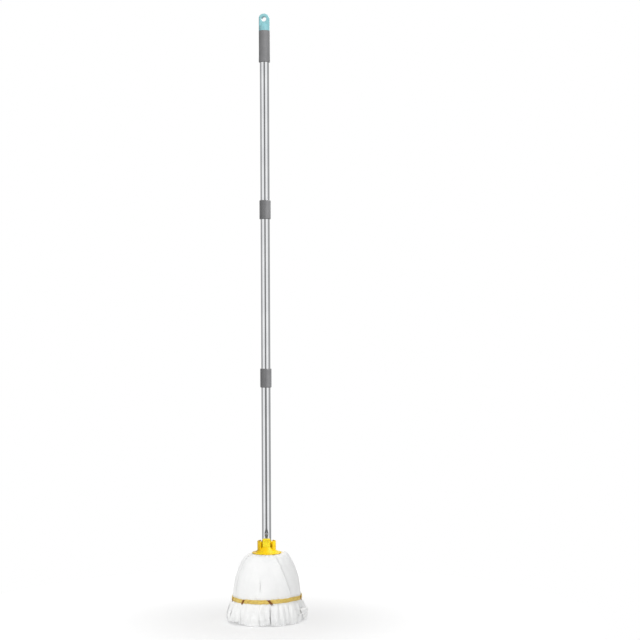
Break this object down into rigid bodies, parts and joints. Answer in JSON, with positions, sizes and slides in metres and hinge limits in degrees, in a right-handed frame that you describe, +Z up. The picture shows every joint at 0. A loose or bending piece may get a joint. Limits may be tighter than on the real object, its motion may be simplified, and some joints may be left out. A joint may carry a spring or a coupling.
{
  "type": "string mop",
  "caption": "Floor mop: a bell of white cloth strips tied by a stitched band, in a yellow push-in socket, on a screw-together steel handle with a grip and a hanging eye.",
  "frame": {"origin": "on the handle's axis, at the floor that the cloth strips stand on", "axes": "+Z up along the handle towards the hanging eye; -Y is the front, the side with the release tongue and the snap button; +X is to the right as seen from the front"},
  "size_m": [0.192, 0.192, 1.448],
  "materials": {
    "cap_blue": "satin",
    "grip_grey": "matte",
    "steel_tube": "polished",
    "joint_grey": "gloss",
    "insert_plastic": "satin",
    "stud_plastic": "satin",
    "washer_rubber": "matte",
    "button_steel": "satin",
    "spring_steel": "satin",
    "socket_yellow": "satin",
    "tongue_yellow": "satin",
    "plate_white": "satin",
    "screw_steel": "satin",
    "cloth_white": "matte",
    "band_yellow": "matte"
  },
  "bodies": {
    "head": {"core_strip_01": "cloth_white", "core_strip_02": "cloth_white", "core_strip_03": "cloth_white", "core_strip_04": "cloth_white", "inner_strip_01": "cloth_white", "inner_strip_02": "cloth_white", "inner_strip_03": "cloth_white", "inner_strip_04": "cloth_white", "inner_strip_05": "cloth_white", "inner_strip_06": "cloth_white", "inner_strip_07": "cloth_white", "inner_strip_08": "cloth_white", "middle_strip_01": "cloth_white", "middle_strip_02": "cloth_white", "middle_strip_03": "cloth_white", "middle_strip_04": "cloth_white", "middle_strip_05": "cloth_white", "middle_strip_06": "cloth_white", "middle_strip_07": "cloth_white", "middle_strip_08": "cloth_white", "outer_sheet_01": "cloth_white", "outer_sheet_02": "cloth_white", "outer_sheet_03": "cloth_white", "outer_sheet_04": "cloth_white", "outer_sheet_05": "cloth_white", "mop_socket": "socket_yellow", "clamp_plate": "plate_white", "clamp_screws": "screw_steel", "stitched_band": "band_yellow"},
    "tongue": {"release_tongue": "tongue_yellow"},
    "lower_handle": {"lower_tube": "steel_tube", "lower_joint_sleeve": "joint_grey", "lower_joint_insert": "insert_plastic", "tube_end_plug": "stud_plastic", "snap_spring": "spring_steel"},
    "button": {"snap_button": "button_steel"},
    "lower_joint_ring": {"lower_joint_washer": "washer_rubber"},
    "middle_handle": {"middle_tube": "steel_tube", "lower_joint_stud": "stud_plastic", "upper_joint_sleeve": "joint_grey", "upper_joint_insert": "insert_plastic"},
    "upper_joint_ring": {"upper_joint_washer": "washer_rubber"},
    "upper_handle": {"upper_tube": "steel_tube", "upper_joint_stud": "stud_plastic", "grip_sleeve": "grip_grey", "hanging_cap": "cap_blue"}
  },
  "joints": [
    {"name": "handle_pull", "type": "slide", "parent": "head", "child": "lower_handle", "axis": [0, 0, 1], "range_m": [0, 0.06]},
    {"name": "tongue_flex", "type": "hinge", "parent": "head", "child": "tongue", "pos_m": [0, -0.0126, 0.1762], "axis": [1, 0, 0], "range_deg": [0, 8], "stiffness_Nm_per_rad": 1.4},
    {"name": "button_press", "type": "slide", "parent": "lower_handle", "child": "button", "axis": [0, 1, 0], "range_m": [0, 0.0022], "stiffness_N_per_m": 900, "deforming": ["snap_spring"]},
    {"name": "lower_joint_lift", "type": "slide", "parent": "lower_handle", "child": "lower_joint_ring", "axis": [0, 0, 1], "range_m": [0, 0.0201]},
    {"name": "lower_joint_turn", "type": "hinge", "parent": "lower_joint_ring", "child": "middle_handle", "pos_m": [0, 0, 0.578], "axis": [0, 0, 1], "range_deg": [0, 1800]},
    {"name": "upper_joint_lift", "type": "slide", "parent": "middle_handle", "child": "upper_joint_ring", "axis": [0, 0, 1], "range_m": [0, 0.0201]},
    {"name": "upper_joint_turn", "type": "hinge", "parent": "upper_joint_ring", "child": "upper_handle", "pos_m": [0, 0, 0.98], "axis": [0, 0, 1], "range_deg": [0, 1800]}
  ],
  "couplings": [
    {"joint": "lower_joint_lift", "follows": "lower_joint_turn", "m_per_rad": 0.00063662},
    {"joint": "upper_joint_lift", "follows": "upper_joint_turn", "m_per_rad": 0.00063662}
  ]
}
